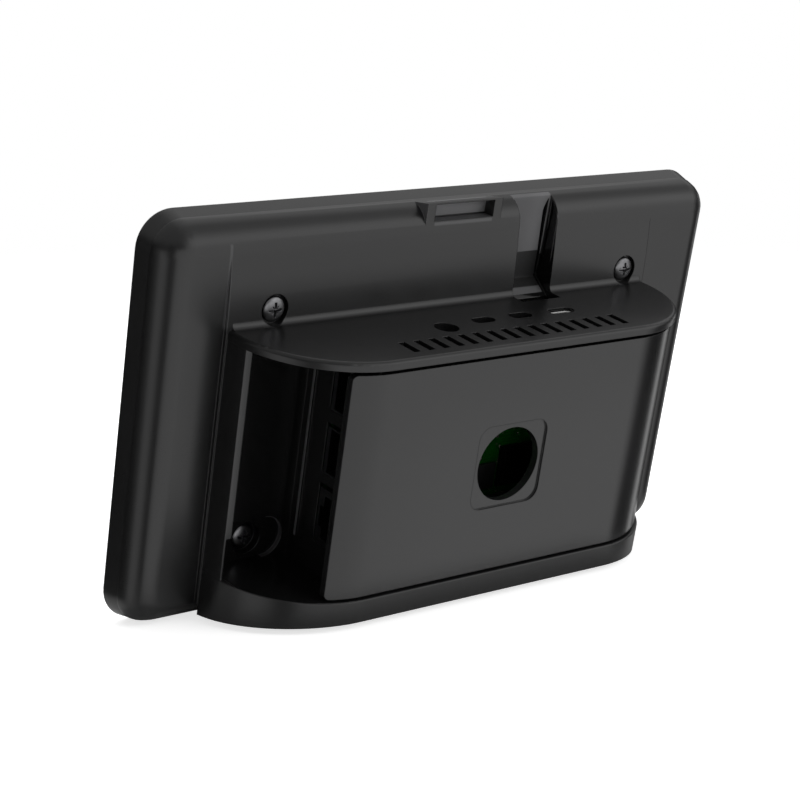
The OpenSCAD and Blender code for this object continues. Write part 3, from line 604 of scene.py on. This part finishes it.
def sheet_paint(coords):
    """White to the eye, by emission for camera and transmission rays only, and faded out at its edge.
    Reflections see it only where it lies in the shade, up to 2 cm from the housing and its base.
    The gap to the housing is taken from its box, and the gap to the base from a round-ended bar."""
    housing_half, housing_back = 0.0985, -0.018
    base_middle, base_half, base_back, base_r = 0.0031, 0.0442, -0.014, 0.030
    seen, mirror_ray = ray_kinds(coords)
    across, back, up = coords.axes()
    radius = coords.node("VectorMath", {"operation": "LENGTH"}, {0: coords}, out=1)
    beside = coords.math("MAXIMUM", coords.math("ABSOLUTE", across) - housing_half, 0.0)
    housing_gap = coords.math("MAXIMUM", beside, back - housing_back)
    ends = coords.math("MAXIMUM", coords.math("ABSOLUTE", across - base_middle) - base_half, 0.0)
    behind = coords.math("MAXIMUM", back - base_back, 0.0)
    base_gap = coords.math("SQRT", ends * ends + behind * behind) - base_r
    shade = 0.9 * coords.math("MINIMUM", housing_gap, base_gap).step(0.018, 0.003)
    return {"Emission Color": 0.72 * seen,
            "Alpha": radius.step(0.85, 0.30) * (1 - mirror_ray * (1 - shade))}


def panel_ring(direction, panels, dim):
    """Brightness of the studio in each compass direction: soft-edged panels, given as
    (middle, half width, edge, strength) in degrees, over a dim surround."""
    x, y, up = direction.axes()
    total = dim
    for middle, half, edge, strength in panels:
        turn = math.radians(middle)
        along = math.cos(turn) * x + math.sin(turn) * y
        aside = math.cos(turn) * y - math.sin(turn) * x
        angle = direction.math("ABSOLUTE", direction.math("ARCTAN2", aside, along))
        lit = angle.step(math.radians(half + edge), math.radians(half - edge))
        total = total + (strength - dim) * lit
    return total


floor_half = 0.9
floor_mesh = bpy.data.meshes.new("floor")
floor_corners = [(x * floor_half, y * floor_half, 0) for x, y in ((-1, -1), (1, -1), (1, 1), (-1, 1))]
floor_mesh.from_pydata(floor_corners, [], [(0, 1, 2, 3)])
floor = bpy.data.objects.new("floor", floor_mesh)
bpy.context.scene.collection.objects.link(floor)
floor_mesh.materials.append(finish("floor paint", {
    "Base Color": (0.80, 0.80, 0.80, 1.0), "Roughness": 0.9, "Specular IOR Level": 0.0,
    "Emission Strength": 1.0}, sheet_paint))

world = bpy.data.worlds.new("studio")
bpy.context.scene.world = world
world.use_nodes = True
sky = world.node_tree.nodes["Background"]
direction = Field(world.node_tree, None).node("TexCoord", out=0)
seen, mirror_ray = ray_kinds(direction)
height = direction.axes()[2]
low_wall = panel_ring(direction, ((101, 50, 8, 1.22), (6, 19, 12, 0.95), (194, 6, 4, 0.95)), 0.035)
key_wall = panel_ring(direction, ((128, 34, 18, 1.0),), 0.0)
top_panel = panel_ring(direction, ((218, 34, 16, 0.74),), 0.46)
ceiling = top_panel * height.step(0.15, 0.55) + key_wall * (1.50 - 1.30 * height.step(0.30, 0.74))
near_floor = height.step(0.20, 0.02)
studio = near_floor * low_wall + (1 - near_floor) * ceiling
plain_light = 0.35
light = seen + (1 - seen) * (mirror_ray * studio + (1 - mirror_ray) * plain_light)
world.node_tree.links.new(light.socket, sky.inputs["Strength"])
sky.inputs["Color"].default_value = (1.0, 1.0, 1.0, 1.0)


def softbox(name, azimuth, elevation, distance, watts):
    """A square area lamp in a compass direction that points at the middle of the object."""
    lamp = bpy.data.lights.new(name, "AREA")
    lamp.shape = "SQUARE"
    lamp.size = 0.9
    lamp.energy = watts
    thing = bpy.data.objects.new(name, lamp)
    bpy.context.scene.collection.objects.link(thing)
    turn, rise = math.radians(azimuth), math.radians(elevation)
    back = np.array([math.cos(turn) * math.cos(rise), math.sin(turn) * math.cos(rise), math.sin(rise)])
    side = np.cross((0, 0, 1), back) / math.cos(rise)
    place = np.eye(4)
    place[:3] = np.stack([side, np.cross(back, side), back, back * distance + (0, 0, 0.06)], -1)
    thing.matrix_world = Matrix(place.tolist())
    thing.visible_glossy = False


softbox("key", azimuth=112, elevation=30, distance=1.5, watts=9)
softbox("top", azimuth=235, elevation=65, distance=1.3, watts=9)
softbox("front", azimuth=275, elevation=40, distance=1.5, watts=6)

camera = bpy.data.cameras.new("camera")
camera.lens = 96.183
camera.sensor_width = 36.0
camera.clip_start = 0.01
eye = bpy.data.objects.new("camera", camera)
bpy.context.scene.collection.objects.link(eye)
eye.matrix_world = Matrix((
    (-0.779440, -0.120547, 0.614769, 0.380385),
    (0.626467, -0.144518, 0.765933, 0.448148),
    (-0.003486, 0.982132, 0.188162, 0.166053),
    (0.0, 0.0, 0.0, 1.0)))
bpy.context.scene.camera = eye
bpy.context.scene.view_settings.view_transform = "Standard"
